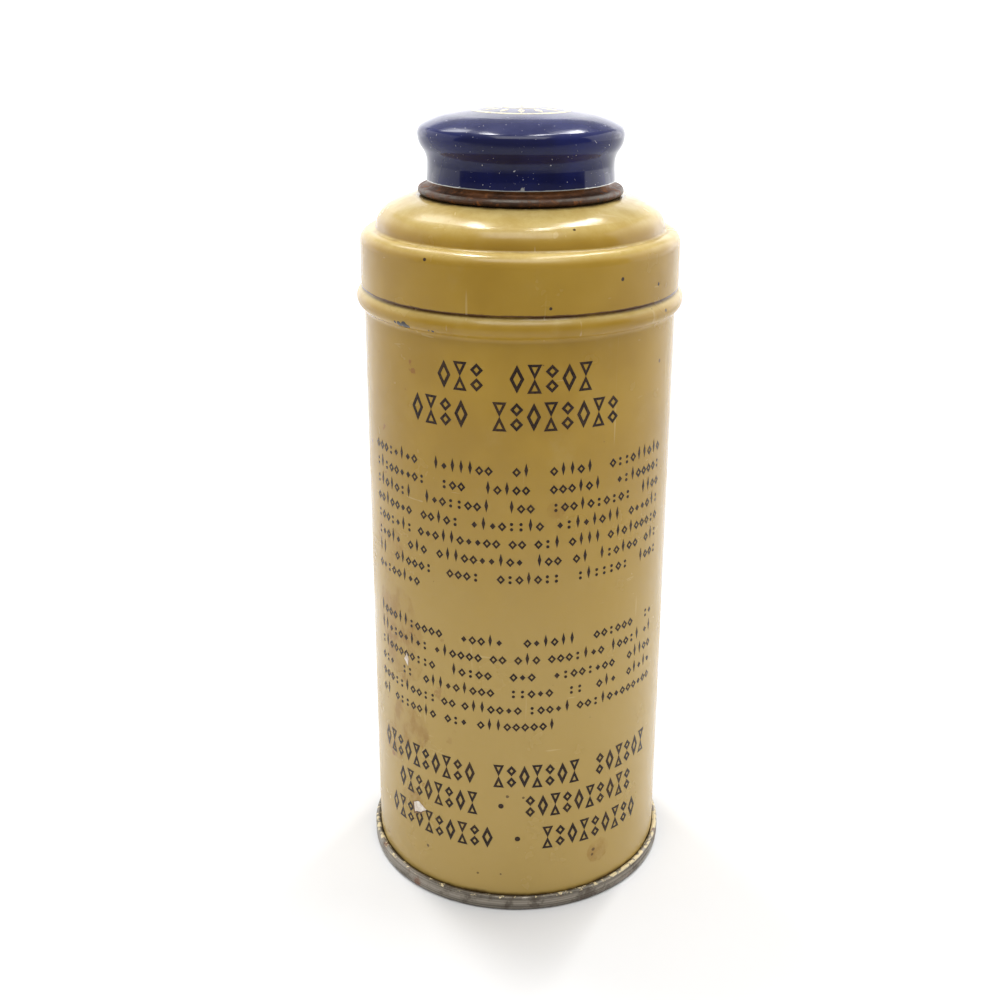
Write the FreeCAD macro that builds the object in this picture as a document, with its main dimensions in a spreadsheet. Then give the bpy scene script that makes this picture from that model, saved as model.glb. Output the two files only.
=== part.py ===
"""Talcum powder tin in lithographed tinplate, in millimetres, +Z up, standing on Z = 0.

The frame's origin is the centre of the base, and the printed front faces -Y.
"""
import FreeCAD, Part
import math
import os
import Sketcher

# Driving dimensions. Radii are measured from the tin's axis and heights from the table.
DIMENSIONS = {
    # sheet and body
    "gauge": 0.28,
    "body_radius": 26.0,
    "body_top": 113.0,
    "stop_bead_height": 104.2,
    "stop_bead_rise": 1.25,
    "stop_bead_crest": 1.7,
    "stop_bead_blend": 1.0,
    # lock seam down the back
    "lock_seam_width": 3.2,
    "lock_seam_depth": 0.56,
    "lock_seam_foot": 5.0,
    "lock_seam_length": 95.0,
    "lock_seam_bite": 0.08,
    "seam_line_width": 0.25,
    "seam_line_depth": 0.12,
    "seam_line_offset": 1.0,
    "seam_line_foot": 3.0,
    "seam_line_length": 98.4,
    # double seam at the base
    "seam_radius": 27.0,
    "seam_height": 2.7,
    "seam_corner": 0.6,
    "seam_fold": 0.48,
    "cover_hook_tip": 1.0,
    "body_hook_radius": 26.64,
    "body_hook_tip": 2.0,
    "body_hook_bend": 0.4,
    "compound_inner": 26.02,
    "compound_outer": 26.4,
    "compound_top": 0.45,
    "chuck_wall_gap": 0.02,
    "panel_height": 3.4,
    "panel_bend": 0.6,
    "ring_inner": 15.0,
    "ring_outer": 19.0,
    "ring_rise": 0.7,
    # slip cover
    "skirt_radius": 26.45,
    "skirt_foot": 106.2,
    "ledge_height": 115.3,
    "ledge_corner": 2.0,
    "dome_radius": 23.86,
    "dome_hole": 14.55,
    "dome_rise": 5.5,
    "dome_shoulder": 4.0,
    "dome_valley": 0.5,
    # neck ring and sifter cup
    "neck_radius": 14.8,
    "neck_top": 130.2,
    "neck_bend": 0.5,
    "neck_lip": 13.4,
    "snap_bead_height": 124.6,
    "snap_bead_half": 0.45,
    "snap_bead_rise": 0.17,
    "cove_radius": 1.4,
    "rim_roll": 0.64,
    "rim_foot": 120.82,
    "rim_foot_inner": 15.0,
    "sifter_radius": 14.48,
    "sifter_top": 129.88,
    "sifter_bend": 0.4,
    "clinch_radius": 15.8,
    "clinch_height": 120.14,
    "hole_radius": 0.8,
    "hole_pitch": 3.6,
    # cap
    "cap_foot_radius": 15.5,
    "cap_foot": 123.1,
    "waist_radius": 15.36,
    "waist_height": 125.8,
    "crown_radius": 16.88,
    "crown_height": 130.35,
    "crown_rise": 4.12,
    "crown_edge": 1.6,
    "crown_edge_turn": 59.0,
    "crown_side_turn": 80.0,
    "liner_radius": 15.5,
    "liner_foot": 130.3,
    "liner_thickness": 0.95,
    "liner_edge": 0.15,
}

# Counts that aren't lengths: holes in the two rings of the sifter, one pitch and two pitches out.
SIFTER_RINGS = (6, 12)

doc = FreeCAD.newDocument("powder_tin")
sheet = doc.addObject("Spreadsheet::Sheet", "sizes")
for row, (alias, number) in enumerate(DIMENSIONS.items(), start=1):
    sheet.set("A%d" % row, alias)
    sheet.set("B%d" % row, str(number))
    sheet.setAlias("B%d" % row, alias)
doc.recompute()


class Size:
    """A length that carries the spreadsheet formula it comes from."""

    def __init__(self, value, formula):
        self.value = value
        self.formula = formula

    def __add__(self, other):
        return Size(self.value + other.value, "(%s + %s)" % (self.formula, other.formula))

    def __sub__(self, other):
        return Size(self.value - other.value, "(%s - %s)" % (self.formula, other.formula))

    def __mul__(self, other):
        return Size(self.value * other.value, "(%s * %s)" % (self.formula, other.formula))

    def __truediv__(self, other):
        return Size(self.value / other.value, "(%s / %s)" % (self.formula, other.formula))


def size(alias):
    return Size(DIMENSIONS[alias], "sizes." + alias)


def root(square):
    return Size(math.sqrt(square.value), "sqrt(%s)" % square.formula)


def direction(turn):
    """The cosine and sine of an angle given in degrees."""
    angle = math.radians(turn.value)
    return (Size(math.cos(angle), "cos(%s * 1 deg)" % turn.formula),
            Size(math.sin(angle), "sin(%s * 1 deg)" % turn.formula))


ZERO = Size(0.0, "0")
ONE = Size(1.0, "1")
TWO = Size(2.0, "2")
GAUGE = size("gauge")
LEFT = 1
RIGHT = -1


def origin_plane(body, role):
    return next(plane for plane in body.Origin.OriginFeatures if plane.Role == role)


def new_body(name):
    body = doc.addObject("PartDesign::Body", name)
    body.Label = name
    return body


def new_sketch(body, name, role):
    sketch = body.newObject("Sketcher::SketchObject", name)
    sketch.AttachmentSupport = [(origin_plane(body, role), "")]
    sketch.MapMode = "FlatFace"
    return sketch


def bind(sketch, constraint, length):
    """Adds a dimension whose value is the length's spreadsheet formula."""
    index = sketch.addConstraint(Sketcher.Constraint(*constraint, length.value))
    sketch.setExpression("Constraints[%d]" % index, length.formula)


def hold(sketch, point, across, up):
    """Holds a sketch point at its two coordinates, on an axis where a coordinate is zero."""
    if across.value == 0:
        sketch.addConstraint(Sketcher.Constraint("PointOnObject", *point, -2))
    else:
        bind(sketch, ("DistanceX", -1, 1, *point), across)
    if up.value == 0:
        sketch.addConstraint(Sketcher.Constraint("PointOnObject", *point, -1))
    else:
        bind(sketch, ("DistanceY", -1, 1, *point), up)


def line_to(across, up):
    return ("line", across, up, None, None)


def arc_to(across, up, radius, side):
    """An arc of at most half a turn, with its centre on the LEFT or the RIGHT of the way there."""
    return ("arc", across, up, radius, side)


def add_arc(sketch, begin, end, radius, side):
    chord = end - begin
    reach = math.sqrt(max(radius.value ** 2 - (chord.Length / 2) ** 2, 0))
    sideways = FreeCAD.Vector(-chord.y, chord.x, 0).normalize() * reach * side
    centre = begin + chord / 2 + sideways
    angles = [math.atan2(p.y - centre.y, p.x - centre.x) for p in (begin, end)]
    circle = Part.Circle(centre, FreeCAD.Vector(0, 0, 1), radius.value)
    index = sketch.addGeometry(Part.ArcOfCircle(circle, *angles[::side]))
    bind(sketch, ("Radius", index), radius)
    return index


def draw_loop(sketch, steps):
    """Draws a closed section, which starts and ends at the last step's point."""
    begin = FreeCAD.Vector(steps[-1][1].value, steps[-1][2].value, 0)
    ends = []
    for kind, across, up, radius, side in steps:
        end = FreeCAD.Vector(across.value, up.value, 0)
        if kind == "line":
            index = sketch.addGeometry(Part.LineSegment(begin, end))
        else:
            index = add_arc(sketch, begin, end, radius, side)
        first, last = (2, 1) if side == RIGHT else (1, 2)
        ends.append(((index, first), (index, last)))
        hold(sketch, (index, last), across, up)
        begin = end
    for (_, last), (first, _) in zip(ends, ends[1:] + ends[:1]):
        sketch.addConstraint(Sketcher.Constraint("Coincident", *last, *first))


def spin(name, steps):
    """A piece that is turned from its section about the tin's axis."""
    body = new_body(name)
    sketch = new_sketch(body, name + "_section", "XZ_Plane")
    draw_loop(sketch, steps)
    doc.recompute()
    turned = body.newObject("PartDesign::Revolution", name + "_turned")
    turned.Profile = sketch
    turned.ReferenceAxis = (sketch, ["V_Axis"])
    turned.Angle = 360
    doc.recompute()
    return body


def bar_sketch(body, name, middle, width, inner, outer, foot):
    """An upright bar's rectangle at the back of the tin, drawn at the height of its foot."""
    sketch = new_sketch(body, name, "XY_Plane")
    sketch.setExpression("AttachmentOffset.Base.z", foot.formula)
    half = width / TWO
    draw_loop(sketch, [line_to(middle - half, inner), line_to(middle + half, inner),
                       line_to(middle + half, outer), line_to(middle - half, outer)])
    doc.recompute()
    return sketch


def bulge_radius(half_chord, rise):
    return (half_chord * half_chord + rise * rise) / (TWO * rise)


def sheet_loop(wall):
    """The section of a sheet wall: along one face, and back along the other a gauge away."""
    begin, outward = wall(ZERO)
    other_begin, inward = wall(GAUGE)
    corners = [other_begin] + [step[1:3] for step in inward]
    loop = outward + [line_to(*corners[-1])]
    for corner, (kind, _, _, radius, side) in zip(corners[-2::-1], inward[::-1]):
        loop.append(line_to(*corner) if kind == "line" else arc_to(*corner, radius, -side))
    return loop + [line_to(*begin)]


def stop_bead(depth):
    """The way up the bead's three arcs, at a depth under the body's outer face."""
    crest = size("stop_bead_crest")
    blend = size("stop_bead_blend")
    rise = size("stop_bead_rise")
    wall = size("body_radius")
    middle = size("stop_bead_height")
    centres = crest + blend
    span = root(rise * (TWO * centres - rise))
    share = (crest - depth) / centres
    joint = wall + rise - crest + share * (centres - rise)
    return [
        line_to(wall - depth, middle - span),
        arc_to(joint, middle - share * span, blend + depth, RIGHT),
        arc_to(joint, middle + share * span, crest - depth, LEFT),
        arc_to(wall - depth, middle + span, blend + depth, RIGHT),
    ]


def body_wall(depth):
    """From the tip of the body hook, round the hook and up the wall to the plain neck."""
    inner = size("body_radius") - GAUGE
    hook = size("body_hook_radius")
    bend = size("body_hook_bend")
    floor = size("compound_top")
    return (hook - depth, size("body_hook_tip")), [
        line_to(hook - depth, floor + bend),
        arc_to(hook - bend, floor + depth, bend - depth, RIGHT),
        line_to(inner + bend, floor + depth),
        arc_to(inner + depth, floor + bend, bend - depth, RIGHT),
        *stop_bead(GAUGE - depth),
        line_to(inner + depth, size("body_top")),
    ]


def make_body_shell():
    """Rolled body with its lock seam: the fold inside, and the fine line of it outside."""
    outer = size("body_radius")
    inner = outer - GAUGE
    body = spin("body_shell", sheet_loop(body_wall))
    folded = bar_sketch(body, "lock_seam_section", ZERO, size("lock_seam_width"),
                        inner - size("lock_seam_depth"), inner + size("lock_seam_bite"),
                        size("lock_seam_foot"))
    seam = body.newObject("PartDesign::Pad", "lock_seam")
    seam.Profile = folded
    seam.setExpression("Length", "sizes.lock_seam_length")
    doc.recompute()
    uncut = body.Shape.Volume
    line = bar_sketch(body, "seam_line_section", size("seam_line_offset"), size("seam_line_width"),
                      outer - size("seam_line_depth"), outer + GAUGE, size("seam_line_foot"))
    groove = body.newObject("PartDesign::Pocket", "seam_line")
    groove.Profile = line
    groove.Reversed = True
    groove.setExpression("Length", "sizes.seam_line_length")
    doc.recompute()
    if body.Shape.Volume >= uncut:
        raise RuntimeError("the seam line cut nothing")


def end_wall(depth):
    """From the middle of the panel, down the chuck wall and round the seam to the cover hook."""
    chuck = size("body_radius") - GAUGE - size("chuck_wall_gap") - GAUGE
    rim = size("seam_radius")
    corner = size("seam_corner")
    fold = size("seam_fold")
    fold_centre = size("seam_height") - fold
    hook = rim - fold - fold
    panel = size("panel_height")
    bend = size("panel_bend")
    rise = size("ring_rise")
    near = size("ring_inner")
    far = size("ring_outer")
    return (ZERO, panel + depth), [
        line_to(near, panel + depth),
        line_to(near + rise, panel + rise + depth),
        line_to(far - rise, panel + rise + depth),
        line_to(far, panel + depth),
        line_to(chuck - bend, panel + depth),
        arc_to(chuck + depth, panel - bend, bend + depth, RIGHT),
        line_to(chuck + depth, corner),
        arc_to(chuck + corner, depth, corner - depth, LEFT),
        line_to(rim - corner, depth),
        arc_to(rim - depth, corner, corner - depth, LEFT),
        line_to(rim - depth, fold_centre),
        arc_to(rim - fold, size("seam_height") - depth, fold - depth, LEFT),
        arc_to(hook + depth, fold_centre, fold - depth, LEFT),
        line_to(hook + depth, size("cover_hook_tip")),
    ]


def make_seam_compound():
    """Rubbery sealing ring that fills the bottom of the double seam under the body hook."""
    spin("seam_compound", [
        line_to(size("compound_outer"), GAUGE),
        line_to(size("compound_outer"), size("compound_top")),
        line_to(size("compound_inner"), size("compound_top")),
        line_to(size("compound_inner"), GAUGE),
    ])


def cover_wall(depth):
    """From the skirt's foot, over the rounded ledge and its valley, and up the two-arc dome."""
    skirt = size("skirt_radius")
    ledge = size("ledge_height")
    corner = size("ledge_corner")
    valley = size("dome_valley")
    hole = size("dome_hole")
    rise = size("dome_rise")
    small = size("dome_shoulder")
    reach = size("dome_radius") - hole
    large = (reach * reach - TWO * reach * small + rise * rise) / (TWO * (rise - small))
    spread = (large - depth) / (large - small)
    share = (small - depth) / (small + valley)
    small_centre = hole + reach - small
    valley_reach = root((small + valley) * (small + valley) - valley * valley)
    return (skirt - depth, size("skirt_foot")), [
        line_to(skirt - depth, ledge - corner),
        arc_to(skirt - corner, ledge - depth, corner - depth, LEFT),
        line_to(small_centre + valley_reach, ledge - depth),
        arc_to(small_centre + share * valley_reach, ledge + share * valley, valley + depth, RIGHT),
        arc_to(hole + spread * (reach - small), ledge + (spread - ONE) * (large - rise),
               small - depth, LEFT),
        arc_to(hole, ledge + rise - depth, large - depth, LEFT),
    ]


def ring_wall(depth):
    """From the lip over the sifter, down past the snap bead and the cove, to the rolled rim."""
    wall = size("neck_radius")
    top = size("neck_top")
    bend = size("neck_bend")
    bead = size("snap_bead_height")
    half = size("snap_bead_half")
    bulge = bulge_radius(half, size("snap_bead_rise"))
    cove = size("cove_radius")
    roll = size("rim_roll")
    foot = size("rim_foot")
    roll_radius = wall + cove
    roll_top = foot + roll + roll
    return (size("neck_lip"), top - depth), [
        line_to(wall - bend, top - depth),
        arc_to(wall - depth, top - bend, bend - depth, RIGHT),
        line_to(wall - depth, bead + half),
        arc_to(wall - depth, bead - half, bulge, RIGHT),
        line_to(wall - depth, roll_top + cove),
        arc_to(roll_radius, roll_top - depth, cove + depth, LEFT),
        arc_to(roll_radius + roll - depth, foot + roll, roll - depth, RIGHT),
        arc_to(roll_radius, foot + depth, roll - depth, RIGHT),
        line_to(size("rim_foot_inner"), foot + depth),
    ]


def drill_ring(body, number, distance, count):
    """Drills one hole at a distance from the axis and repeats it round the ring."""
    sketch = new_sketch(body, "sifter_hole_%d" % number, "XY_Plane")
    sketch.setExpression("AttachmentOffset.Base.z", "sizes.sifter_top + sizes.gauge")
    centre = FreeCAD.Vector(distance.value, 0, 0)
    circle = Part.Circle(centre, FreeCAD.Vector(0, 0, 1), DIMENSIONS["hole_radius"])
    index = sketch.addGeometry(circle)
    hold(sketch, (index, 3), distance, ZERO)
    bind(sketch, ("Radius", index), size("hole_radius"))
    doc.recompute()
    pocket = body.newObject("PartDesign::Pocket", "sifter_drill_%d" % number)
    pocket.Profile = sketch
    pocket.setExpression("Length", "sizes.gauge * 4")
    doc.recompute()
    if count > 1:
        ring = body.newObject("PartDesign::PolarPattern", "sifter_ring_%d" % number)
        ring.Originals = [pocket]
        ring.Axis = (sketch, ["N_Axis"])
        ring.Angle = 360
        ring.Occurrences = count
        body.Tip = ring
        doc.recompute()


def cup_wall(depth):
    """From the middle of the perforated top, down the cup's wall to the clinched flange."""
    wall = size("sifter_radius")
    top = size("sifter_top")
    bend = size("sifter_bend")
    tight = bend - GAUGE
    flange = size("clinch_height") + GAUGE
    return (ZERO, top - depth), [
        line_to(wall - bend, top - depth),
        arc_to(wall - depth, top - bend, bend - depth, RIGHT),
        line_to(wall - depth, flange + tight),
        arc_to(wall + tight, flange - depth, tight + depth, LEFT),
        line_to(size("clinch_radius"), flange - depth),
    ]


def make_sifter_cup():
    """Drawn cup with a perforated top, clinched outward under the edge of the dome's hole."""
    body = spin("sifter_cup", sheet_loop(cup_wall))
    solid = body.Shape.Volume
    drill_ring(body, 0, ZERO, 1)
    for number, count in enumerate(SIFTER_RINGS, start=1):
        drill_ring(body, number, size("hole_pitch") * Size(float(number), str(number)), count)
    hole = math.pi * DIMENSIONS["hole_radius"] ** 2 * DIMENSIONS["gauge"]
    drilled = (solid - body.Shape.Volume) / hole
    if round(drilled) != 1 + sum(SIFTER_RINGS):
        raise RuntimeError("the sifter has %.1f holes" % drilled)


def cap_wall(depth):
    """From the cap's raw foot, past the waist and the swelling side, to the top of the crown."""
    foot = size("cap_foot")
    foot_radius = size("cap_foot_radius")
    waist = size("waist_radius")
    waist_height = size("waist_height")
    crown = size("crown_radius")
    crown_height = size("crown_height")
    rise = size("crown_rise")
    flare = bulge_radius(waist_height - foot, foot_radius - waist)
    half_swell = (crown - waist) / TWO
    half_climb = (crown_height - waist_height) / TWO
    swell = bulge_radius(half_climb, half_swell)
    share = (swell + depth) / swell
    # Three arcs that turn from upright at the widest point to level on the axis.
    edge = size("crown_edge")
    edge_across, edge_up = direction(size("crown_edge_turn"))
    side_across, side_up = direction(size("crown_side_turn"))
    left_across = crown - edge * (ONE - edge_across)
    left_up = rise - edge * edge_up
    gain_across = edge_across - side_across
    gain_up = side_up - edge_up
    spread = gain_across * (ONE - side_up) - side_across * gain_up
    side = (left_across * (ONE - side_up) - left_up * side_across) / spread
    top = (left_up * gain_across - left_across * gain_up) / spread
    return (foot_radius - depth, foot), [
        arc_to(waist - depth, waist_height, flare, RIGHT),
        arc_to(waist + swell - share * (swell - half_swell), waist_height + share * half_climb,
               swell + depth, RIGHT),
        arc_to(crown - depth, crown_height, swell - depth, LEFT),
        arc_to(crown - edge + (edge - depth) * edge_across, crown_height + (edge - depth) * edge_up,
               edge - depth, LEFT),
        arc_to((top - depth) * side_across, crown_height + rise - top + (top - depth) * side_up,
               side - depth, LEFT),
        arc_to(ZERO, crown_height + rise - depth, top - depth, LEFT),
    ]


def make_cap_liner():
    """Waxed pulpboard disc that sits in the crown, above the waist."""
    body = new_body("cap_liner")
    sketch = new_sketch(body, "cap_liner_section", "XY_Plane")
    sketch.setExpression("AttachmentOffset.Base.z", "sizes.liner_foot")
    circle = Part.Circle(FreeCAD.Vector(), FreeCAD.Vector(0, 0, 1), DIMENSIONS["liner_radius"])
    index = sketch.addGeometry(circle)
    sketch.addConstraint(Sketcher.Constraint("Coincident", index, 3, -1, 1))
    bind(sketch, ("Radius", index), size("liner_radius"))
    doc.recompute()
    disc = body.newObject("PartDesign::Pad", "cap_liner_disc")
    disc.Profile = sketch
    disc.setExpression("Length", "sizes.liner_thickness")
    doc.recompute()
    rims = ["Edge%d" % number for number, edge in enumerate(disc.Shape.Edges, start=1)
            if isinstance(edge.Curve, Part.Circle)]
    edge = body.newObject("PartDesign::Chamfer", "cap_liner_edge")
    edge.Base = (disc, rims)
    edge.setExpression("Size", "sizes.liner_edge")
    doc.recompute()


make_body_shell()
spin("bottom_end", sheet_loop(end_wall))
make_seam_compound()
spin("shoulder_cover", sheet_loop(cover_wall))
spin("neck_ring", sheet_loop(ring_wall))
make_sifter_cup()
spin("cap_shell", sheet_loop(cap_wall))
make_cap_liner()
doc.recompute()

for thing in doc.Objects:
    if "Invalid" in thing.State or "Error" in thing.State:
        raise RuntimeError("%s failed: %s" % (thing.Name, thing.State))
pieces = [thing for thing in doc.Objects if thing.TypeId == "PartDesign::Body"]
for piece in pieces:
    if piece.Shape.isNull() or not piece.Shape.isValid() or len(piece.Shape.Solids) != 1:
        raise RuntimeError("%s is not one sound solid" % piece.Label)

os.makedirs("parts", exist_ok=True)
for piece in pieces:
    piece.Shape.exportStep("parts/%s.step" % piece.Label)
    print("%-16s %9.1f mm3" % (piece.Label, piece.Shape.Volume))
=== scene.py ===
import math
import random

import bmesh
import bpy
from mathutils import Matrix, Vector


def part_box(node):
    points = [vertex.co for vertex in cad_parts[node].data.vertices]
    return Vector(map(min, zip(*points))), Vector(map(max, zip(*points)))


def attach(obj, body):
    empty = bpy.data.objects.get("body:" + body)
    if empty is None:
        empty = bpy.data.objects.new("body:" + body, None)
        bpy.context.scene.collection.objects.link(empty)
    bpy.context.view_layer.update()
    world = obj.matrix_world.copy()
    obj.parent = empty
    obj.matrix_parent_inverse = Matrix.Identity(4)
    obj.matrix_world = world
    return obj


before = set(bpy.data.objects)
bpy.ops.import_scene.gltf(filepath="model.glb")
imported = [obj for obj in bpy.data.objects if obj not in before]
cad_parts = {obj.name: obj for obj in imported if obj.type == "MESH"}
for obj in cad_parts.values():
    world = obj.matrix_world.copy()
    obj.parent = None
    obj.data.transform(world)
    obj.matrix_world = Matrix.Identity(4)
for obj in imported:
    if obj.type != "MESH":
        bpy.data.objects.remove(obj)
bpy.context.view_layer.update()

MM = 0.001

# Sizes of the tin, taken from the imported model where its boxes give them.
BODY_RADIUS = 26.0 * MM
LOCK_SEAM_HALF = 2.2 * MM
SEAM_TOP = 2.7 * MM
BEAD_HEIGHT = 104.2 * MM
BEAD_RISE = 1.2 * MM
SKIRT_RADIUS = 26.45 * MM
SKIRT_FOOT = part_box("shoulder_cover")[0].z
VALLEY_RADIUS = 24.3 * MM
COLLAR_RADIUS = 17.1 * MM
RIM_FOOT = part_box("neck_ring")[0].z
CAP_FOOT_RADIUS = 15.5 * MM
CAP_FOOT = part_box("cap_shell")[0].z
CROWN_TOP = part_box("cap_shell")[1].z
CROWN_DOME = 65.8 * MM


# ---------------------------------------------------------------- material building

def add_node(tree, kind, values=None, **settings):
    """Adds a node; its values may be numbers, colours or other nodes' sockets."""
    made = tree.nodes.new("ShaderNode" + kind)
    for setting, value in settings.items():
        setattr(made, setting, value)
    for socket, value in (values or {}).items():
        if isinstance(value, bpy.types.NodeSocket):
            tree.links.new(value, made.inputs[socket])
        else:
            made.inputs[socket].default_value = value
    return made


def calc(tree, operation, first, second=0.0, third=0.0):
    """One step of arithmetic on numbers or sockets."""
    return add_node(tree, "Math", {0: first, 1: second, 2: third}, operation=operation).outputs[0]


def object_place(tree):
    """The place of a point on the tin, in the frame that every piece shares."""
    return add_node(tree, "TexCoord").outputs["Object"]


def split(tree, vector):
    return add_node(tree, "SeparateXYZ", {0: vector}).outputs


def noise(tree, place, scale, detail=3.0, rough=0.55, squeeze=(1, 1, 1), shift=(0, 0, 0)):
    """Noise over a place that is squeezed and shifted; a small squeeze draws the grain out."""
    moved = add_node(tree, "Mapping", {"Vector": place, "Scale": squeeze, "Location": shift})
    return add_node(tree, "TexNoise", {"Vector": moved.outputs[0], "Scale": scale,
                                       "Detail": detail, "Roughness": rough}).outputs["Fac"]


def ease(tree, value, low, high, at_low=0.0, at_high=1.0):
    """Goes smoothly from one value to another as the input passes from low to high."""
    return add_node(tree, "MapRange", {"Value": value, "From Min": low, "From Max": high,
                                       "To Min": at_low, "To Max": at_high},
                    interpolation_type="SMOOTHSTEP").outputs[0]


def blend_colour(tree, share, under, over):
    """Lays one colour over another at a share from 0 to 1."""
    return add_node(tree, "Mix", {0: share, 6: under, 7: over}, data_type="RGBA").outputs[2]


def rgb(red, green, blue):
    """A colour given as it looks on screen, from 0 to 255, made linear."""
    def linear(part):
        part = part / 255
        return part / 12.92 if part <= 0.04045 else ((part + 0.055) / 1.055) ** 2.4
    return (linear(red), linear(green), linear(blue), 1.0)


def spot(tree, place, centre, size, ragged):
    """A mask that is 1 inside a ragged spot round a point and 0 outside it."""
    away = add_node(tree, "VectorMath", {0: place, 1: centre}, operation="DISTANCE").outputs["Value"]
    edge = calc(tree, "MULTIPLY_ADD", ragged, size * 1.3, calc(tree, "SUBTRACT", away, size * 0.65))
    return ease(tree, edge, size * 0.86, size, 1.0, 0.0)


def on_body(angle, height, radius=BODY_RADIUS):
    """The point at an angle in degrees from the front, to the right, at a height and a radius."""
    turn = math.radians(angle)
    return (radius * math.sin(turn), -radius * math.cos(turn), height)


def dab_spots(tree, place, colour, spots, radius, ragged, tone, share=1.0):
    """Dabs a tone on a colour in ragged spots, each an angle, a height and a size in millimetres."""
    for angle, height, size in spots:
        dab = spot(tree, place, on_body(angle, height * MM, radius), size * MM, ragged)
        colour = blend_colour(tree, calc(tree, "MULTIPLY", dab, share), colour, tone)
    return colour


def start_finish(name):
    """A new material with its node tree and its shader."""
    material = bpy.data.materials.new(name)
    material.use_nodes = True
    tree = material.node_tree
    shader = tree.nodes["Principled BSDF"]
    return material, tree, shader


def set_relief(tree, shader, height, distance, strength=1.0):
    """Fine relief from a height pattern, as deep as the distance."""
    bump = add_node(tree, "Bump", {"Height": height, "Distance": distance, "Strength": strength})
    tree.links.new(bump.outputs[0], shader.inputs["Normal"])


def feed(tree, shader, **values):
    """Sets the shader's inputs, named with an underscore for each space."""
    for socket, value in values.items():
        name = socket.replace("_", " ")
        if isinstance(value, bpy.types.NodeSocket):
            tree.links.new(value, shader.inputs[name])
        else:
            shader.inputs[name].default_value = value


# ---------------------------------------------------------------- finishes

PLATE = rgb(150, 148, 142)
PLATE_DARK = rgb(70, 64, 56)
RUST = rgb(112, 62, 30)
RUST_DARK = rgb(46, 28, 18)
EDGE_RUST = rgb(78, 46, 22)
STAIN = rgb(138, 96, 28)
DARK_SPECK = rgb(58, 42, 26)
POWDER = rgb(226, 220, 200)
TAN = rgb(164, 130, 42)
TAN_DEEP = rgb(154, 120, 34)
TAN_FADED = rgb(172, 144, 78)
TAN_DUST_AND_TOP_LIGHT = rgb(214, 196, 134)
CREAM = rgb(230, 214, 168)
NAVY = rgb(15, 22, 80)
NAVY_DEEP = rgb(9, 13, 58)
NAVY_DUST_SHEEN = rgb(84, 88, 130)


def outside_of(tree, place):
    """1 on faces that look away from the tin's axis or up, 0 on the insides."""
    across, depth, _ = split(tree, place)
    outward = add_node(tree, "CombineXYZ", {0: across, 1: depth, 2: 4 * MM}).outputs[0]
    facing = add_node(tree, "VectorMath", {0: outward, 1: add_node(tree, "TexCoord").outputs["Normal"]},
                      operation="DOT_PRODUCT").outputs["Value"]
    return calc(tree, "GREATER_THAN", facing, 0.0)


def dust_and_top_light(tree, place, most):
    """A mask of dust on faces that look up, at most the given share; it is also painted light, making faces
    lighter the more they look up.
    """
    facing = split(tree, add_node(tree, "TexCoord").outputs["Normal"])[2]
    patchy = ease(tree, noise(tree, place, 240, 5, 0.7, shift=(6, 2, 2)), 0.3, 0.72, 0.55, 1.0)
    return calc(tree, "MULTIPLY", patchy, ease(tree, facing, 0.25, 0.95, 0.0, most))


def lacquer_colour(tree, place):
    """Printed tan lacquer, faded towards the foot: slow changes of tone, grime, dark specks, and dust on the
    tops that is also painted light from above.
    """
    up = split(tree, place)[2]
    slow = noise(tree, place, 60, 3)
    fresh = blend_colour(tree, ease(tree, slow, 0.38, 0.66), TAN_DEEP, TAN)
    drift = calc(tree, "MULTIPLY_ADD", slow, 30 * MM, up)
    colour = blend_colour(tree, ease(tree, drift, 112 * MM, 50 * MM), fresh, TAN_FADED)
    cloud = noise(tree, place, 150, 4, 0.6, shift=(3, 1, 2))
    colour = blend_colour(tree, ease(tree, cloud, 0.52, 0.8, 0.0, 0.3), colour, TAN_FADED)
    grime = noise(tree, place, 900, 4, 0.7)
    colour = blend_colour(tree, ease(tree, grime, 0.6, 0.85, 0.0, 0.25), colour, TAN_DEEP)
    # Dust and painted light: faces that look up are made paler, as light from above would make them.
    colour = blend_colour(tree, dust_and_top_light(tree, place, 0.6), colour, TAN_DUST_AND_TOP_LIGHT)
    speck = noise(tree, place, 420, 2, 0.4, shift=(7, 3, 5))
    return blend_colour(tree, ease(tree, speck, 0.775, 0.80), colour, DARK_SPECK)


def scratches(tree, place):
    """Fine scratches in two directions, as a mask."""
    along = noise(tree, place, 700, 2, 0.5, squeeze=(1.0, 1.0, 0.05))
    across = noise(tree, place, 600, 2, 0.5, squeeze=(0.08, 0.5, 1.6), shift=(2, 9, 4))
    return calc(tree, "MAXIMUM", ease(tree, along, 0.70, 0.74), ease(tree, across, 0.71, 0.75))


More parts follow.
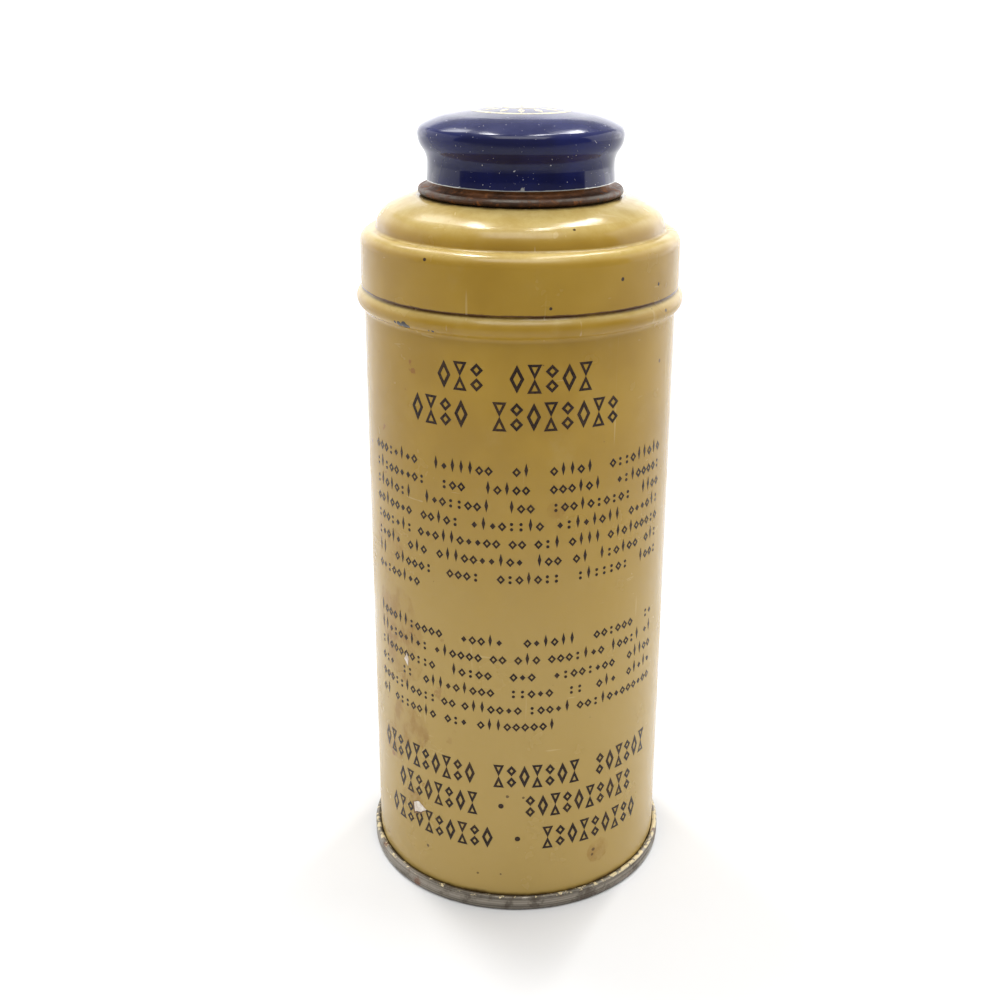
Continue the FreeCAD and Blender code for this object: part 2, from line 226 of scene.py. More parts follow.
def finish_lacquer(tree, shader, place, colour, outside, bare):
    """Sets the lacquer where the sheet is covered and bare tinplate inside and where it is worn."""
    ragged = noise(tree, place, 500, 3)
    plate_tone = blend_colour(tree, ease(tree, noise(tree, place, 200, 4, 0.65), 0.4, 0.7),
                              PLATE, PLATE_DARK)
    metal = calc(tree, "MAXIMUM", calc(tree, "SUBTRACT", 1.0, outside), bare)
    scratch = calc(tree, "MULTIPLY", scratches(tree, place), 0.14)
    colour = blend_colour(tree, scratch, colour, CREAM)
    worn = blend_colour(tree, metal, colour, plate_tone)
    gloss = ease(tree, noise(tree, place, 90, 4, 0.6), 0.3, 0.75, 0.16, 0.3)
    rough = calc(tree, "ADD", gloss, calc(tree, "MULTIPLY", metal, 0.15))
    feed(tree, shader, Base_Color=worn, Roughness=rough, Metallic=calc(tree, "MULTIPLY", metal, 0.75),
         Specular_IOR_Level=0.36)
    waves = noise(tree, place, 45, 2, 0.4)
    height = calc(tree, "ADD", calc(tree, "MULTIPLY", waves, 0.5),
                  calc(tree, "MULTIPLY", noise(tree, place, 1400, 3), 0.012))
    height = calc(tree, "SUBTRACT", height, calc(tree, "MULTIPLY", bare, 0.06))
    height = calc(tree, "ADD", height, calc(tree, "MULTIPLY", ragged, 0.02))
    set_relief(tree, shader, height, 0.25 * MM, 0.6)


# Stains on the body, in degrees and millimetres: angle, height, size and strength. The worn spots
# on the bead and the specks are an angle, a height and a size.
STAINS = (
    (-56, 52, 6, 0.5), (-50, 44, 5, 0.5), (-58, 64, 5, 0.4), (-47, 31, 5, 0.55), (-58, 27, 4, 0.45),
    (-43, 49, 3, 0.35), (-45, 16, 3, 0.6), (33, 9, 2.5, 0.5), (13, 75, 1.6, 0.4),
)
BEAD_WEAR = (
    (-41, 103.2, 0.75), (-43.6, 103.25, 0.6), (-39.6, 103.1, 0.5), (-45.5, 103.5, 0.35),
    (-31, 103.0, 0.4), (-29.4, 102.9, 0.5), (-22, 102.8, 0.35), (-20.4, 102.8, 0.4),
    (-49.2, 105.7, 0.35), (48.8, 105.6, 0.45), (50.4, 105.5, 0.3), (58, 104.6, 0.3),
)
BODY_SPECKS = (
    (60, 96, 0.35), (-3.5, 22.6, 0.25), (2.5, 22.4, 0.25), (-37, 9, 0.3),
    (31.5, 9.4, 0.35), (31, 8.4, 0.3), (-15, 6.5, 0.25), (-6, 6.8, 0.2),
)
# Specks on the cover, by the radius that they lie at.
COVER_SPECKS = {
    21.6 * MM: ((-2, 118.4, 0.3),),
    22.2 * MM: ((21, 118.0, 0.55),),
    26.3 * MM: ((-33, 113.9, 0.3),),
    SKIRT_RADIUS: ((36, 111.0, 0.3), (55, 109.0, 0.25), (10, 107.4, 0.25)),
}


def stained(tree, place, colour, coarse):
    """Brown stains low on the left, with rusty specks among them."""
    cloudy = noise(tree, place, 300, 4, 0.65, squeeze=(1, 1, 0.7), shift=(5, 5, 1))
    for angle, height, size, strength in STAINS:
        stain = spot(tree, place, on_body(angle, height * MM), size * MM, coarse)
        share = calc(tree, "MULTIPLY", stain, ease(tree, cloudy, 0.42, 0.66, 0.08, strength))
        colour = blend_colour(tree, share, colour, STAIN)
    on_left = ease(tree, split(tree, place)[0], -8 * MM, -18 * MM)
    specks = ease(tree, noise(tree, place, 330, 3, 0.5, shift=(1, 8, 6)), 0.68, 0.72)
    share = calc(tree, "MULTIPLY", calc(tree, "MULTIPLY", specks, on_left), 0.55)
    return blend_colour(tree, share, colour, rgb(120, 60, 22))


def soiled(tree, place, colour, coarse):
    """Rusty grime in the crevice above the bead, and dirt at the foot above the end's seam."""
    up = split(tree, place)[2]
    crevice = calc(tree, "MULTIPLY", ease(tree, up, BEAD_HEIGHT + 1.3 * MM, SKIRT_FOOT - 0.1 * MM),
                   ease(tree, coarse, 0.35, 0.6, 0.45, 1.0))
    crevice = calc(tree, "MULTIPLY", crevice, ease(tree, up, SKIRT_FOOT + 1 * MM, SKIRT_FOOT + 0.4 * MM))
    colour = blend_colour(tree, crevice, colour, EDGE_RUST)
    uneven = calc(tree, "ADD", up, calc(tree, "MULTIPLY", coarse, 1.4 * MM))
    dirt = ease(tree, uneven, SEAM_TOP + 1.2 * MM, SEAM_TOP + 0.35 * MM)
    return blend_colour(tree, calc(tree, "MULTIPLY", dirt, 0.85), colour, RUST_DARK)


def body_lacquer():
    """The printed body: stains low on the left, a worn bead and a bare margin at the lock seam."""
    material, tree, shader = start_finish("body_lacquer")
    place = object_place(tree)
    across, depth, _ = split(tree, place)
    ragged = noise(tree, place, 420, 4, 0.65)
    coarse = noise(tree, place, 130, 4, 0.6, shift=(5, 5, 1))
    colour = stained(tree, place, lacquer_colour(tree, place), coarse)
    colour = soiled(tree, place, colour, coarse)
    margin = ease(tree, calc(tree, "ABSOLUTE", across), LOCK_SEAM_HALF + 0.1 * MM, LOCK_SEAM_HALF)
    bare = calc(tree, "MULTIPLY", calc(tree, "MULTIPLY", margin, calc(tree, "GREATER_THAN", depth, 0.0)), 0.9)
    colour = dab_spots(tree, place, colour, BEAD_WEAR, BODY_RADIUS + BEAD_RISE, ragged, rgb(48, 44, 40))
    colour = dab_spots(tree, place, colour, BODY_SPECKS, BODY_RADIUS, ragged, rgb(62, 40, 24), 0.75)
    finish_lacquer(tree, shader, place, colour, outside_of(tree, place), bare)
    return material


def cover_lacquer():
    """The slip cover's lacquer, rusty at the skirt's raw edge, and dark under the neck ring with rust and a
    painted shadow.
    """
    material, tree, shader = start_finish("cover_lacquer")
    place = object_place(tree)
    across, depth, up = split(tree, place)
    outside = calc(tree, "MAXIMUM", outside_of(tree, place),
                   ease(tree, up, SKIRT_FOOT + 0.3 * MM, SKIRT_FOOT + 0.2 * MM))
    ragged = noise(tree, place, 420, 4, 0.65)
    edge = ease(tree, calc(tree, "ADD", up, calc(tree, "MULTIPLY", ragged, 0.35 * MM)),
                SKIRT_FOOT + 0.42 * MM, SKIRT_FOOT + 0.28 * MM)
    colour = blend_colour(tree, calc(tree, "MULTIPLY", edge, 0.9), lacquer_colour(tree, place), EDGE_RUST)
    flat = add_node(tree, "CombineXYZ", {0: across, 1: depth}).outputs[0]
    radius = add_node(tree, "VectorMath", {0: flat}, operation="LENGTH").outputs["Value"]
    off_valley = calc(tree, "ABSOLUTE", calc(tree, "SUBTRACT", radius, VALLEY_RADIUS))
    grime = calc(tree, "MULTIPLY", ease(tree, off_valley, 0.55 * MM, 0.1 * MM),
                 ease(tree, noise(tree, place, 160, 4, 0.65), 0.4, 0.75, 0.05, 0.5))
    colour = blend_colour(tree, grime, colour, rgb(96, 66, 30))
    # Dark band round the neck ring: rust, and a painted shadow cast by the ring.
    collar_rust_and_shade = ease(tree, calc(tree, "ADD", radius, calc(tree, "MULTIPLY", ragged, 1.2 * MM)),
                  COLLAR_RADIUS + 1.2 * MM, COLLAR_RADIUS)
    colour = blend_colour(tree, calc(tree, "MULTIPLY", collar_rust_and_shade, 0.8), colour, RUST_DARK)
    for speck_radius, specks in COVER_SPECKS.items():
        colour = dab_spots(tree, place, colour, specks, speck_radius, ragged, rgb(52, 36, 24))
    finish_lacquer(tree, shader, place, colour, outside, 0.0)
    return material


def seam_plate():
    """Bare tinplate of the end: rolled lines round the seam, grey dirt and cream flecks on top."""
    material, tree, shader = start_finish("seam_plate")
    place = object_place(tree)
    across, _, up = split(tree, place)
    lines = noise(tree, place, 60, 3, 0.6, squeeze=(0.4, 0.4, 55))
    dirt = noise(tree, place, 260, 5, 0.7)
    colour = blend_colour(tree, ease(tree, lines, 0.35, 0.65), rgb(98, 92, 82), rgb(160, 152, 140))
    colour = blend_colour(tree, ease(tree, dirt, 0.5, 0.66, 0.0, 0.6), colour, rgb(70, 60, 48))
    rust = noise(tree, place, 190, 4, 0.65, shift=(4, 4, 4))
    colour = blend_colour(tree, ease(tree, rust, 0.58, 0.68, 0.0, 0.7), colour, RUST)
    fleck_noise = noise(tree, place, 900, 4, 0.6, shift=(9, 2, 7))
    right = ease(tree, across, 2 * MM, 18 * MM, -0.05, 0.09)
    left = ease(tree, across, -14 * MM, -23 * MM, 0.0, 0.07)
    high = ease(tree, up, SEAM_TOP - 0.42 * MM, SEAM_TOP - 0.2 * MM)
    fleck = ease(tree, calc(tree, "ADD", fleck_noise, calc(tree, "ADD", right, left)), 0.55, 0.58)
    fleck = calc(tree, "MULTIPLY", fleck, high)
    colour = blend_colour(tree, fleck, colour, rgb(214, 198, 156))
    metal = calc(tree, "MULTIPLY", calc(tree, "SUBTRACT", 1.0, fleck), 0.8)
    rough = ease(tree, dirt, 0.35, 0.7, 0.3, 0.6)
    feed(tree, shader, Base_Color=colour, Metallic=metal, Roughness=rough)
    height = calc(tree, "ADD", calc(tree, "MULTIPLY", lines, 0.6), calc(tree, "MULTIPLY", dirt, 0.5))
    set_relief(tree, shader, calc(tree, "ADD", height, fleck), 0.08 * MM, 0.9)
    return material


def rusty_plate():
    """The neck ring's bare plate: brown rust all over, orange bloom, worn metal on the edge and a painted
    highlight along the rim's crest.
    """
    material, tree, shader = start_finish("rusty_plate")
    place = object_place(tree)
    up = split(tree, place)[2]
    rust = noise(tree, place, 300, 6, 0.7)
    bloom = noise(tree, place, 800, 5, 0.7, shift=(2, 6, 3))
    colour = blend_colour(tree, ease(tree, rust, 0.35, 0.62), RUST_DARK, rgb(84, 52, 30))
    colour = blend_colour(tree, ease(tree, bloom, 0.52, 0.68, 0.0, 0.8), colour, rgb(152, 94, 44))
    above = ease(tree, up, RIM_FOOT + 1.2 * MM, RIM_FOOT + 2.4 * MM)
    colour = blend_colour(tree, calc(tree, "MULTIPLY", above, ease(tree, rust, 0.4, 0.55, 0.45, 0.9)),
                          colour, rgb(140, 84, 30))
    # The pale grey line along the rim's crest is a painted highlight.
    crest_highlight = ease(tree, calc(tree, "ABSOLUTE", calc(tree, "SUBTRACT", up, RIM_FOOT + 1.0 * MM)),
                 0.3 * MM, 0.1 * MM)
    crest_highlight = calc(tree, "MULTIPLY", crest_highlight, ease(tree, rust, 0.42, 0.6, 0.75, 0.1))
    colour = blend_colour(tree, crest_highlight, colour, rgb(112, 104, 94))
    bare = ease(tree, up, CAP_FOOT + 1.5 * MM, CAP_FOOT + 3.5 * MM)
    bright = calc(tree, "MULTIPLY", bare, ease(tree, rust, 0.4, 0.6, 0.85, 0.25))
    colour = blend_colour(tree, bright, colour, PLATE)
    feed(tree, shader, Base_Color=colour, Roughness=ease(tree, bloom, 0.4, 0.7, 0.38, 0.75),
         Metallic=calc(tree, "ADD", 0.25, calc(tree, "MULTIPLY", bright, 0.6)))
    set_relief(tree, shader, calc(tree, "ADD", bloom, rust), 0.12 * MM, 0.8)
    return material


def sifter_plate():
    """Dull inner tinplate with a breath of powder left on it."""
    material, tree, shader = start_finish("sifter_plate")
    place = object_place(tree)
    dust = noise(tree, place, 240, 5, 0.7)
    stain = noise(tree, place, 120, 4, 0.6, shift=(3, 3, 8))
    colour = blend_colour(tree, ease(tree, stain, 0.45, 0.7, 0.0, 0.6), PLATE, RUST)
    powder = ease(tree, dust, 0.5, 0.75, 0.0, 0.7)
    colour = blend_colour(tree, powder, colour, POWDER)
    feed(tree, shader, Base_Color=colour, Roughness=ease(tree, dust, 0.3, 0.75, 0.32, 0.8),
         Metallic=calc(tree, "SUBTRACT", 0.85, powder))
    set_relief(tree, shader, dust, 0.05 * MM, 0.6)
    return material


def navy_enamel():
    """The cap's glossy navy enamel: dust, a pale bloom on the crown that is dust and a painted sheen, bare
    plate inside and at the foot.
    """
    material, tree, shader = start_finish("navy_enamel")
    place = object_place(tree)
    up = split(tree, place)[2]
    outside = outside_of(tree, place)
    slow = noise(tree, place, 90, 3)
    colour = blend_colour(tree, ease(tree, slow, 0.35, 0.7), NAVY_DEEP, NAVY)
    # The pale bloom on faces that look up is dust and a painted sheen.
    bloom = dust_and_top_light(tree, place, 0.3)
    colour = blend_colour(tree, bloom, colour, NAVY_DUST_SHEEN)
    dust = ease(tree, noise(tree, place, 1500, 2, 0.5, shift=(3, 1, 9)), 0.74, 0.77)
    fine = ease(tree, noise(tree, place, 2900, 2, 0.5, shift=(8, 1, 4)), 0.725, 0.76)
    dust = calc(tree, "MAXIMUM", dust, fine)
    colour = blend_colour(tree, calc(tree, "MULTIPLY", dust, 0.8), colour, rgb(206, 204, 210))
    ragged = noise(tree, place, 700, 4, 0.65)
    rim = ease(tree, calc(tree, "ADD", up, calc(tree, "MULTIPLY", ragged, 0.25 * MM)),
               CAP_FOOT + 0.3 * MM, CAP_FOOT + 0.2 * MM)
    chip = spot(tree, place, on_body(1, CAP_FOOT + 0.3 * MM, CAP_FOOT_RADIUS), 0.32 * MM, ragged)
    chip = calc(tree, "MULTIPLY", chip, 0.8)
    metal = calc(tree, "MAXIMUM", calc(tree, "MAXIMUM", rim, chip), calc(tree, "SUBTRACT", 1.0, outside))
    colour = blend_colour(tree, metal, colour, rgb(176, 176, 172))
    rough = calc(tree, "ADD", ease(tree, noise(tree, place, 500, 4, 0.65), 0.3, 0.75, 0.05, 0.1),
                 calc(tree, "MULTIPLY", bloom, 0.35))
    feed(tree, shader, Base_Color=colour, Roughness=rough, Metallic=calc(tree, "MULTIPLY", metal, 0.7),
         Specular_IOR_Level=0.3)
    height = calc(tree, "ADD", calc(tree, "MULTIPLY", noise(tree, place, 70, 2), 0.5),
                  calc(tree, "MULTIPLY", noise(tree, place, 1700, 3), 0.02))
    height = calc(tree, "ADD", height, calc(tree, "MULTIPLY", dust, 0.03))
    set_relief(tree, shader, height, 0.2 * MM, 0.5)
    return material


def waxed_board():
    """Grey-brown pulpboard with short fibres and a waxy shine."""
    material, tree, shader = start_finish("waxed_board")
    place = object_place(tree)
    fibres = noise(tree, place, 1200, 5, 0.7, squeeze=(1, 0.25, 1))
    blotch = noise(tree, place, 150, 3)
    colour = blend_colour(tree, ease(tree, fibres, 0.35, 0.7), rgb(140, 122, 92), rgb(196, 182, 150))
    colour = blend_colour(tree, ease(tree, blotch, 0.5, 0.75, 0.0, 0.4), colour, rgb(120, 92, 60))
    feed(tree, shader, Base_Color=colour, Roughness=ease(tree, blotch, 0.3, 0.7, 0.45, 0.7))
    set_relief(tree, shader, fibres, 0.08 * MM, 0.8)
    return material


def sealing_rubber():
    """Dark, dull sealing compound."""
    material, tree, shader = start_finish("sealing_rubber")
    place = object_place(tree)
    grain = noise(tree, place, 600, 4)
    colour = blend_colour(tree, grain, rgb(40, 36, 32), rgb(74, 68, 60))
    feed(tree, shader, Base_Color=colour, Roughness=ease(tree, grain, 0.3, 0.7, 0.6, 0.8))
    set_relief(tree, shader, grain, 0.03 * MM, 0.5)
    return material


def ink(name, colour, worn_colour, wear):
    """Printing ink that has thinned and flaked in small spots."""
    material, tree, shader = start_finish(name)
    place = object_place(tree)
    thin = noise(tree, place, 1500, 4, 0.6)
    patch = noise(tree, place, 220, 3, 0.6, shift=(4, 7, 1))
    tone = blend_colour(tree, ease(tree, patch, 0.35, 0.7, 0.0, 0.35), colour, worn_colour)
    flake = ease(tree, calc(tree, "ADD", thin, calc(tree, "MULTIPLY", patch, 0.25)), wear, wear + 0.05)
    tone = blend_colour(tree, calc(tree, "MULTIPLY", flake, 0.7), tone, worn_colour)
    feed(tree, shader, Base_Color=tone, Roughness=ease(tree, thin, 0.3, 0.7, 0.2, 0.35),
         Specular_IOR_Level=0.22)
    set_relief(tree, shader, thin, 0.01 * MM, 0.4)
    return material


def chipped_primer():
    """Chalky off-white where a flake of lacquer has lifted."""
    material, tree, shader = start_finish("chipped_primer")
    place = object_place(tree)
    grain = noise(tree, place, 900, 5, 0.7)
    colour = blend_colour(tree, ease(tree, grain, 0.35, 0.7), rgb(196, 178, 158), rgb(236, 228, 218))
    feed(tree, shader, Base_Color=colour, Roughness=ease(tree, grain, 0.3, 0.7, 0.4, 0.7))
    set_relief(tree, shader, grain, 0.06 * MM, 0.8)
    return material


def chip_painted_shadow():
    """A painted shadow in rust brown, lying under a chip and showing past its left and lower sides."""
    material, tree, shader = start_finish("chip_painted_shadow")
    place = object_place(tree)
    grain = noise(tree, place, 1100, 4, 0.7)
    colour = blend_colour(tree, ease(tree, grain, 0.35, 0.7), rgb(84, 54, 28), rgb(134, 98, 50))
    feed(tree, shader, Base_Color=colour, Roughness=ease(tree, grain, 0.3, 0.7, 0.4, 0.7))
    return material


def studio_paper():
    """Pale paper that turns grey well in front of the tin."""
    material, tree, shader = start_finish("studio_paper")
    place = object_place(tree)
    pale = blend_colour(tree, noise(tree, place, 3, 2), (0.71, 0.71, 0.71, 1), (0.73, 0.73, 0.73, 1))
    near = ease(tree, split(tree, place)[1], -0.5, -0.2, 0.8, 0.0)
    feed(tree, shader, Base_Color=blend_colour(tree, near, pale, (0.24, 0.24, 0.24, 1)), Roughness=0.9)
    return material


# ---------------------------------------------------------------- mesh building

def finish_piece(name, built, material, body, smooth=False):
    """Turns a bmesh into an object that rides on a body."""
    mesh = bpy.data.meshes.new(name)
    built.to_mesh(mesh)
    built.free()
    for face in mesh.polygons:
        face.use_smooth = smooth
    piece = bpy.data.objects.new(name, mesh)
    bpy.context.scene.collection.objects.link(piece)
    mesh.materials.append(material)
    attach(piece, body)


def move(built, verts, place):
    """Moves points of a bmesh by a step."""
    bmesh.ops.translate(built, verts=verts, vec=place)


def flat_shape(built, sides, centre, width, height, turn=0.0):
    """Adds a flat face with straight sides, stretched to a width and a height."""
    made = bmesh.ops.create_circle(built, cap_ends=True, segments=sides, radius=0.5)
    verts = made["verts"]
    bmesh.ops.rotate(built, verts=verts, cent=(0, 0, 0), matrix=Matrix.Rotation(turn, 3, "Z"))
    low = [min(v.co[axis] for v in verts) for axis in (0, 1)]
    high = [max(v.co[axis] for v in verts) for axis in (0, 1)]
    move(built, verts, (-(low[0] + high[0]) / 2, -(low[1] + high[1]) / 2, 0))
    bmesh.ops.scale(built, verts=verts, vec=(width / (high[0] - low[0]), height / (high[1] - low[1]), 1))
    move(built, verts, (*centre, 0))
    return verts


def outlined_shape(built, sides, centre, width, height, stroke, turn=0.0):
    """Adds the outline of a flat shape: a ring of faces as wide as the stroke."""
    face = flat_shape(built, sides, centre, width, height, turn)[0].link_faces[0]
    bmesh.ops.inset_region(built, faces=[face], thickness=stroke, use_boundary=True,
                           use_even_offset=True)
    bmesh.ops.delete(built, geom=[face], context="FACES_ONLY")


def thicken(built, film):
    """Gives flat work a film's thickness, upwards."""
    built.normal_update()
    for face in built.faces:
        if face.normal.z < 0:
            face.normal_flip()
    flat = list(built.faces)
    bmesh.ops.solidify(built, geom=flat, thickness=-film)
    bmesh.ops.recalc_face_normals(built, faces=built.faces)


def wrap(verts, lift=0.0):
    """Wraps flat work round the body: x becomes arc length, y height and z the way out."""
    for vert in verts:
        turn = vert.co.x / BODY_RADIUS
        radius = BODY_RADIUS + lift + vert.co.z
        vert.co = Vector((radius * math.sin(turn), -radius * math.cos(turn), vert.co.y))


# ---------------------------------------------------------------- the front's print

FILM = 0.03 * MM
BURIED = -0.01 * MM

# Each ornament row in millimetres: height of its foot, left and right ends along the body, height,
# stroke, and the lengths of its groups of marks, where a 0 stands for a round dot between groups.
ORNAMENT_ROWS = (
    (94.2, -13.4, 11.8, 4.5, 0.50, (3, 5)),
    (88.1, -18.5, 16.9, 4.6, 0.50, (4, 8)),
    (24.4, -29.0, 27.2, 4.3, 0.48, (10, 7, 6)),
    (18.5, -24.1, 23.1, 4.3, 0.48, (8, 0, 10)),
    (12.0, -26.7, 24.8, 4.3, 0.48, (10, 0, 9)),
)

# Each paragraph in millimetres: height of its first line, line pitch, left and right ends, and the
# lengths of the groups in its lines. The last line isn't stretched to the right end.
PARAGRAPHS = (
    (80.6, 3.06, -29.4, 28.7, ((8, 7, 2, 5, 9), (9, 3, 5, 6, 8), (7, 8, 3, 10, 4), (7, 5, 8, 8, 6),
                               (7, 10, 2, 3, 4, 9), (5, 3, 10, 3, 2, 6, 3), (2, 6, 4, 7, 7, 4), (8,))),
    (50.9, 3.12, -29.4, 28.1, ((11, 5, 6, 6, 2), (9, 6, 2, 3, 7, 5, 2), (10, 5, 3, 8, 5),
                               (3, 2, 9, 5, 2, 3, 5), (10, 2, 7, 5, 12), (2, 7, 3, 9))),
)
ROW_GAP = 1.3
MARK_STEP = 1.5
MARK_GAP = 1.5
MARK_HEIGHT = 1.6
HAIRLINE = 0.31


def ornament(built, kind, centre, width, height, stroke):
    """One outlined ornament: a lozenge, an hourglass or a pair of small lozenges."""
    if kind == 0:
        outlined_shape(built, 4, centre, width, height, stroke)
    elif kind == 1:
        for side in (1, -1):
            half = (centre[0], centre[1] + side * height * 0.25)
            turn = math.pi if side > 0 else 0.0
            outlined_shape(built, 3, half, width, height * 0.52, stroke * 0.8, turn)
    else:
        for side in (1, -1):
            half = (centre[0], centre[1] + side * height * 0.26)
            outlined_shape(built, 4, half, width * 0.92, height * 0.48, stroke * 0.86)


def ornament_row(built, foot, left, right, height, stroke, groups):
    """A row of tall ornaments in groups, the three kinds in turn."""
    steps = sum(groups) + groups.count(0)
    step = (right - left) / (steps + ROW_GAP * (len(groups) - 1))
    middle = (foot + height / 2) * MM
    place = left + step / 2
    count = 0
    for group in groups:
        if group == 0:
            flat_shape(built, 16, (place * MM, middle), 0.95 * MM, 0.95 * MM)
            place += step
        for _ in range(group):
            ornament(built, count % 3, (place * MM, middle), step * 0.84 * MM, height * MM, stroke * MM)
            count += 1
            place += step
        place += step * ROW_GAP


def make_headings(ink_finish):
    """The five rows of tall ornaments, as one printed film."""
    built = bmesh.new()
    for row in ORNAMENT_ROWS:
        ornament_row(built, *row)
    bmesh.ops.subdivide_edges(built, edges=built.edges, cuts=1)
    thicken(built, FILM)
    wrap(built.verts, BURIED)
    finish_piece("front_ornament_rows", built, ink_finish, "tin_body")


def small_mark(built, chance, left, foot):
    """One small mark of a paragraph: an open or a solid lozenge, a spindle, or a pair of dots."""
    middle = (left + MARK_STEP / 2) * MM
    body = (foot + MARK_HEIGHT / 2) * MM
    kind = chance.random()
    if kind < 0.5:
        outlined_shape(built, 4, (middle, body), 1.4 * MM, MARK_HEIGHT * MM, HAIRLINE * MM)
    elif kind < 0.62:
        flat_shape(built, 4, (middle, body), 0.95 * MM, 1.1 * MM)
    elif kind < 0.84:
        flat_shape(built, 4, (middle, body + 0.35 * MM), 0.6 * MM, (MARK_HEIGHT + 0.7) * MM)
    else:
        for side in (1, -1):
            flat_shape(built, 8, (middle, body + side * 0.45 * MM), 0.56 * MM, 0.56 * MM)


def make_paragraph(ink_finish, number, foot, pitch, left, right, lines):
    """Lines of small marks in groups, spread from the left end to the right."""
    chance = random.Random(40 + number)
    built = bmesh.new()
    for index, groups in enumerate(lines):
        spare = right - left - sum(groups) * MARK_STEP
        last = index == len(lines) - 1
        gap = MARK_GAP if last else spare / max(len(groups) - 1, 1)
        place = left
        for group in groups:
            for _ in range(group):
                small_mark(built, chance, place, foot - index * pitch)
                place += MARK_STEP
            place += gap
    thicken(built, FILM)
    wrap(built.verts, BURIED)
    finish_piece("front_paragraph_%d" % number, built, ink_finish, "tin_body")


def crown_height(radius):
    """Height of the crown's shallow dome at a distance from the axis."""
    return CROWN_TOP - CROWN_DOME + math.sqrt(CROWN_DOME ** 2 - radius ** 2)


RAYS = 12


def make_cap_mark(ink_finish):
    """A plain sunburst in a double ring, printed on the crown."""
    built = bmesh.new()
    outlined_shape(built, 96, (0, 0), 16.4 * MM, 16.4 * MM, 0.75 * MM)
    outlined_shape(built, 64, (0, 0), 6.2 * MM, 6.2 * MM, 0.65 * MM)
    for number in range(RAYS):
        length = 2.9 if number % 2 else 3.7
        verts = flat_shape(built, 4, (0, 5.3 * MM), 1.15 * MM, length * MM)
        bmesh.ops.rotate(built, verts=verts, cent=(0, 0, 0),
                         matrix=Matrix.Rotation(number * math.tau / RAYS, 3, "Z"))
    flat_shape(built, 20, (0, 0), 1.7 * MM, 1.7 * MM)
    thicken(built, FILM)
    for vert in built.verts:
        vert.co.z += crown_height(math.hypot(vert.co.x, vert.co.y)) + BURIED
    finish_piece("crown_sunburst", built, ink_finish, "cap")


def flake(name, angle, height, corners, film, material, slot, lift=0.0):
    """A small flat patch with a ragged outline from its corners, bevelled and laid on the body."""
    built = bmesh.new()
    made = bmesh.ops.create_circle(built, cap_ends=True, segments=len(corners), radius=1)
    for vert, (across, up) in zip(made["verts"], corners):
        vert.co = Vector((across * MM, up * MM, 0))
    bmesh.ops.subdivide_edges(built, edges=built.edges, cuts=2)
    built.normal_update()
    chance = random.Random(len(name))
    for vert in [v for v in built.verts if v.is_boundary]:
        vert.co += Vector((chance.uniform(-1, 1), chance.uniform(-1, 1), 0)) * 0.07 * MM
    thicken(built, film)
    built.normal_update()
    top_edges = [e for e in built.edges if any(f.normal.z > 0.9 for f in e.link_faces)]
    bmesh.ops.bevel(built, geom=top_edges, offset=film * 0.4,
                    affect="EDGES", segments=1, profile=0.5, material=-1)
    move(built, built.verts, (math.radians(angle) * BODY_RADIUS, height * MM, 0))
    bmesh.ops.triangulate(built, faces=built.faces)
    wrap(built.verts, lift + BURIED)
    finish_piece(name, built, material, "tin_body")


def make_chips():
    """Two flaked spots on the left: a low one with a painted shadow round it and a smaller one above it."""
    chalky = chipped_primer()
    rusty = chip_painted_shadow()
    edge = ((-1.75, 0.5), (-0.2, 1.35), (1.75, 0.15), (0.5, -1.0), (-1.3, -1.75))
    low = ((-1.35, 0.45), (-0.1, 1.2), (1.6, 0.2), (0.35, -0.8), (-1.2, -1.35))
    side = ((-0.6, -0.2), (0.1, 1.1), (0.5, 0.2), (0.35, -1.2))
    # The low chip's rust-brown patch is a painted shadow, set a little left of and below the chip.
    flake("low_chip_edge", -41.4, 16.0, edge, 0.035 * MM, rusty, "rusted_tinplate")
    flake("low_chip", -41.0, 16.15, low, 0.05 * MM, chalky, "cream_ink", 0.03 * MM)
    flake("side_chip", -46.6, 44.5, side, 0.04 * MM, chalky, "cream_ink", 0.01 * MM)


# ---------------------------------------------------------------- studio

CAMERA_PLACE = (0, -220.64 * MM, 152.69 * MM)
CAMERA_YAW, CAMERA_TILT, CAMERA_ROLL = -0.504, 19.572, 0.558    # degrees

# Each light, in metres and watts: where it is, what it shines at, its width, length and power, and
# then its turn and spread in degrees where they matter.
LIGHTS = {
    "left_tube": ((-0.27, 0.33, 1.12), (-0.27, 0.33, 0), 0.12, 0.34, 5.2, 5),
    "right_tube": ((0.27, 0.42, 1.12), (0.27, 0.42, 0), 0.08, 0.92, 6.2, -22),
    "rear_softbox": ((0, 0.7, 1.3), (0, 1.5, 0), 3.0, 0.8, 17, 0, 100),
    "front_softbox": ((0, -0.45, 1.15), (0, 0, 0.1), 0.9, 0.6, 7.0),
    "left_glow": ((-0.42, 0.6, 0.86), (0, 0, 0.1), 0.24, 0.24, 1.2),
    "left_panel": ((-0.9, 0.55, 0.4), (0, 0.55, 0.4), 0.8, 1.5, 3.6, 90),
    "right_panel": ((0.9, 0.62, 0.45), (0, 0.62, 0.45), 0.9, 1.5, 7.0, 90),
}


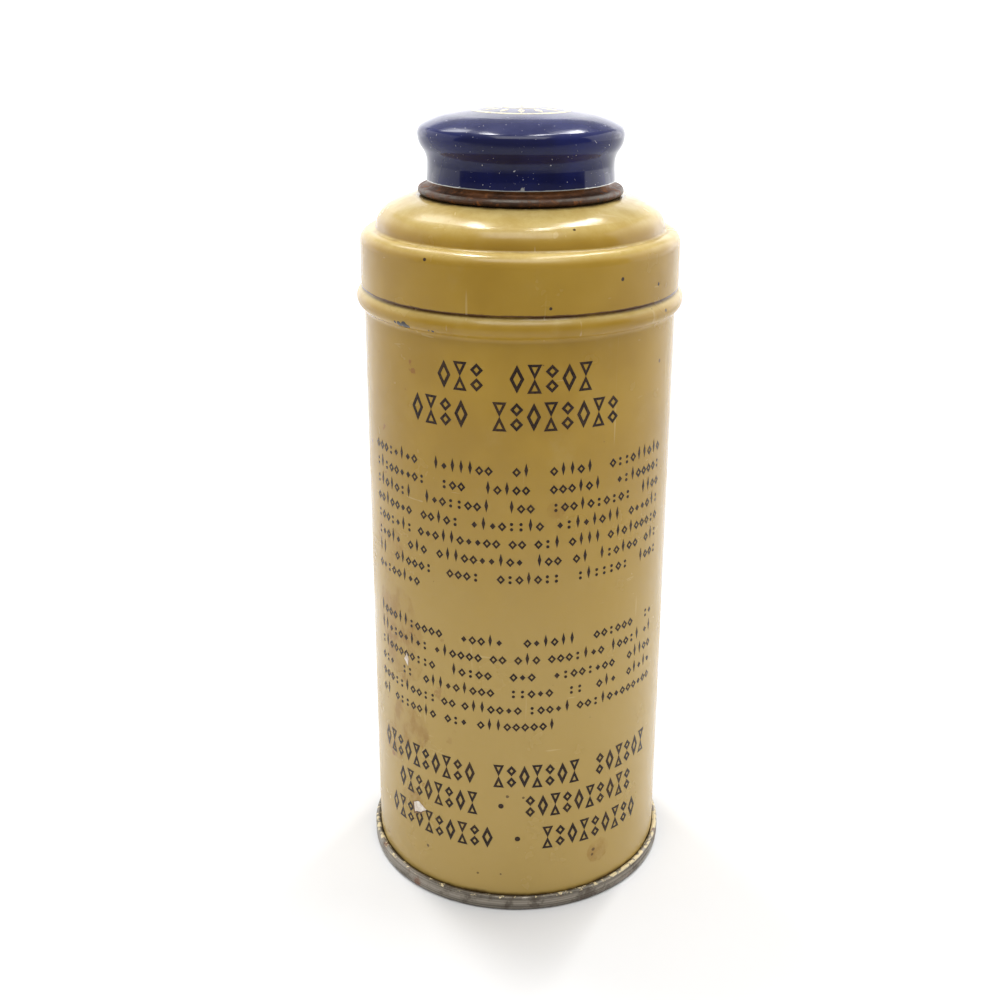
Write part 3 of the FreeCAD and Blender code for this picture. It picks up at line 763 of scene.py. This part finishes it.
def make_camera():
    """A camera in front of the tin and above it, nearly straight on."""
    camera = bpy.data.cameras.new("camera")
    camera.lens = 48.0
    camera.sensor_width = 36.0
    camera.shift_x = -0.03
    camera.shift_y = -0.04
    camera.clip_start = 0.01
    viewer = bpy.data.objects.new("camera", camera)
    yaw = Matrix.Rotation(math.radians(CAMERA_YAW), 4, "Z")
    tilt = Matrix.Rotation(math.radians(90 - CAMERA_TILT), 4, "X")
    roll = Matrix.Rotation(math.radians(CAMERA_ROLL), 4, "Z")
    viewer.matrix_world = Matrix.Translation(CAMERA_PLACE) @ yaw @ tilt @ roll
    bpy.context.scene.collection.objects.link(viewer)
    bpy.context.scene.camera = viewer


def add_light(name, place, aim, width, length, power, turn=0.0, spread=180):
    """A rectangular light that shines from a place towards another; the spread narrows its beam."""
    lamp = bpy.data.lights.new(name, "AREA")
    lamp.shape = "RECTANGLE"
    lamp.size = width
    lamp.size_y = length
    lamp.energy = power
    lamp.spread = math.radians(spread)
    light = bpy.data.objects.new(name, lamp)
    away = Vector(place) - Vector(aim)
    light.matrix_world = (Matrix.Translation(place) @ away.to_track_quat("Z", "Y").to_matrix().to_4x4()
                          @ Matrix.Rotation(math.radians(turn), 4, "Z"))
    bpy.context.scene.collection.objects.link(light)


def make_backdrop():
    """A pale floor that sweeps up behind the tin."""
    built = bmesh.new()
    bmesh.ops.create_grid(built, x_segments=1, y_segments=1, size=4)
    rear = [e for e in built.edges if all(v.co.y > 3 for v in e.verts)]
    for vert in rear[0].verts:
        vert.co.y = 1.3
    rising = bmesh.ops.extrude_edge_only(built, edges=rear)["geom"]
    move(built, [g for g in rising if isinstance(g, bmesh.types.BMVert)], (0, 0, 0.7))
    bmesh.ops.bevel(built, geom=[e for e in built.edges if len(e.link_faces) == 2], offset=0.45,
                    affect="EDGES", segments=16, profile=0.5, material=-1)
    mesh = bpy.data.meshes.new("studio_backdrop")
    built.to_mesh(mesh)
    built.free()
    for face in mesh.polygons:
        face.use_smooth = True
    backdrop = bpy.data.objects.new("studio_backdrop", mesh)
    mesh.materials.append(studio_paper())
    bpy.context.scene.collection.objects.link(backdrop)


def make_studio():
    """A white surround, the backdrop and the lights."""
    world = bpy.data.worlds.new("studio")
    world.use_nodes = True
    world.node_tree.nodes["Background"].inputs["Color"].default_value = (1, 1, 1, 1)
    world.node_tree.nodes["Background"].inputs["Strength"].default_value = 0.47
    bpy.context.scene.world = world
    bpy.context.scene.view_settings.view_transform = "Standard"
    make_backdrop()
    for name, light in LIGHTS.items():
        add_light(name, *light)


# ---------------------------------------------------------------- the tin

make_camera()
make_studio()

FINISHES = {
    "body_shell": body_lacquer(),
    "bottom_end": seam_plate(),
    "seam_compound": sealing_rubber(),
    "shoulder_cover": cover_lacquer(),
    "neck_ring": rusty_plate(),
    "sifter_cup": sifter_plate(),
    "cap_shell": navy_enamel(),
    "cap_liner": waxed_board(),
}
for node, material in FINISHES.items():
    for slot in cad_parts[node].material_slots:
        slot.material = material

dark_ink = ink("dark_ink", rgb(36, 22, 12), rgb(84, 60, 30), 0.82)
cream_ink = ink("cream_ink", rgb(226, 214, 172), rgb(120, 116, 128), 0.74)
make_headings(dark_ink)
for number, paragraph in enumerate(PARAGRAPHS, start=1):
    make_paragraph(dark_ink, number, *paragraph)
make_cap_mark(cream_ink)
make_chips()
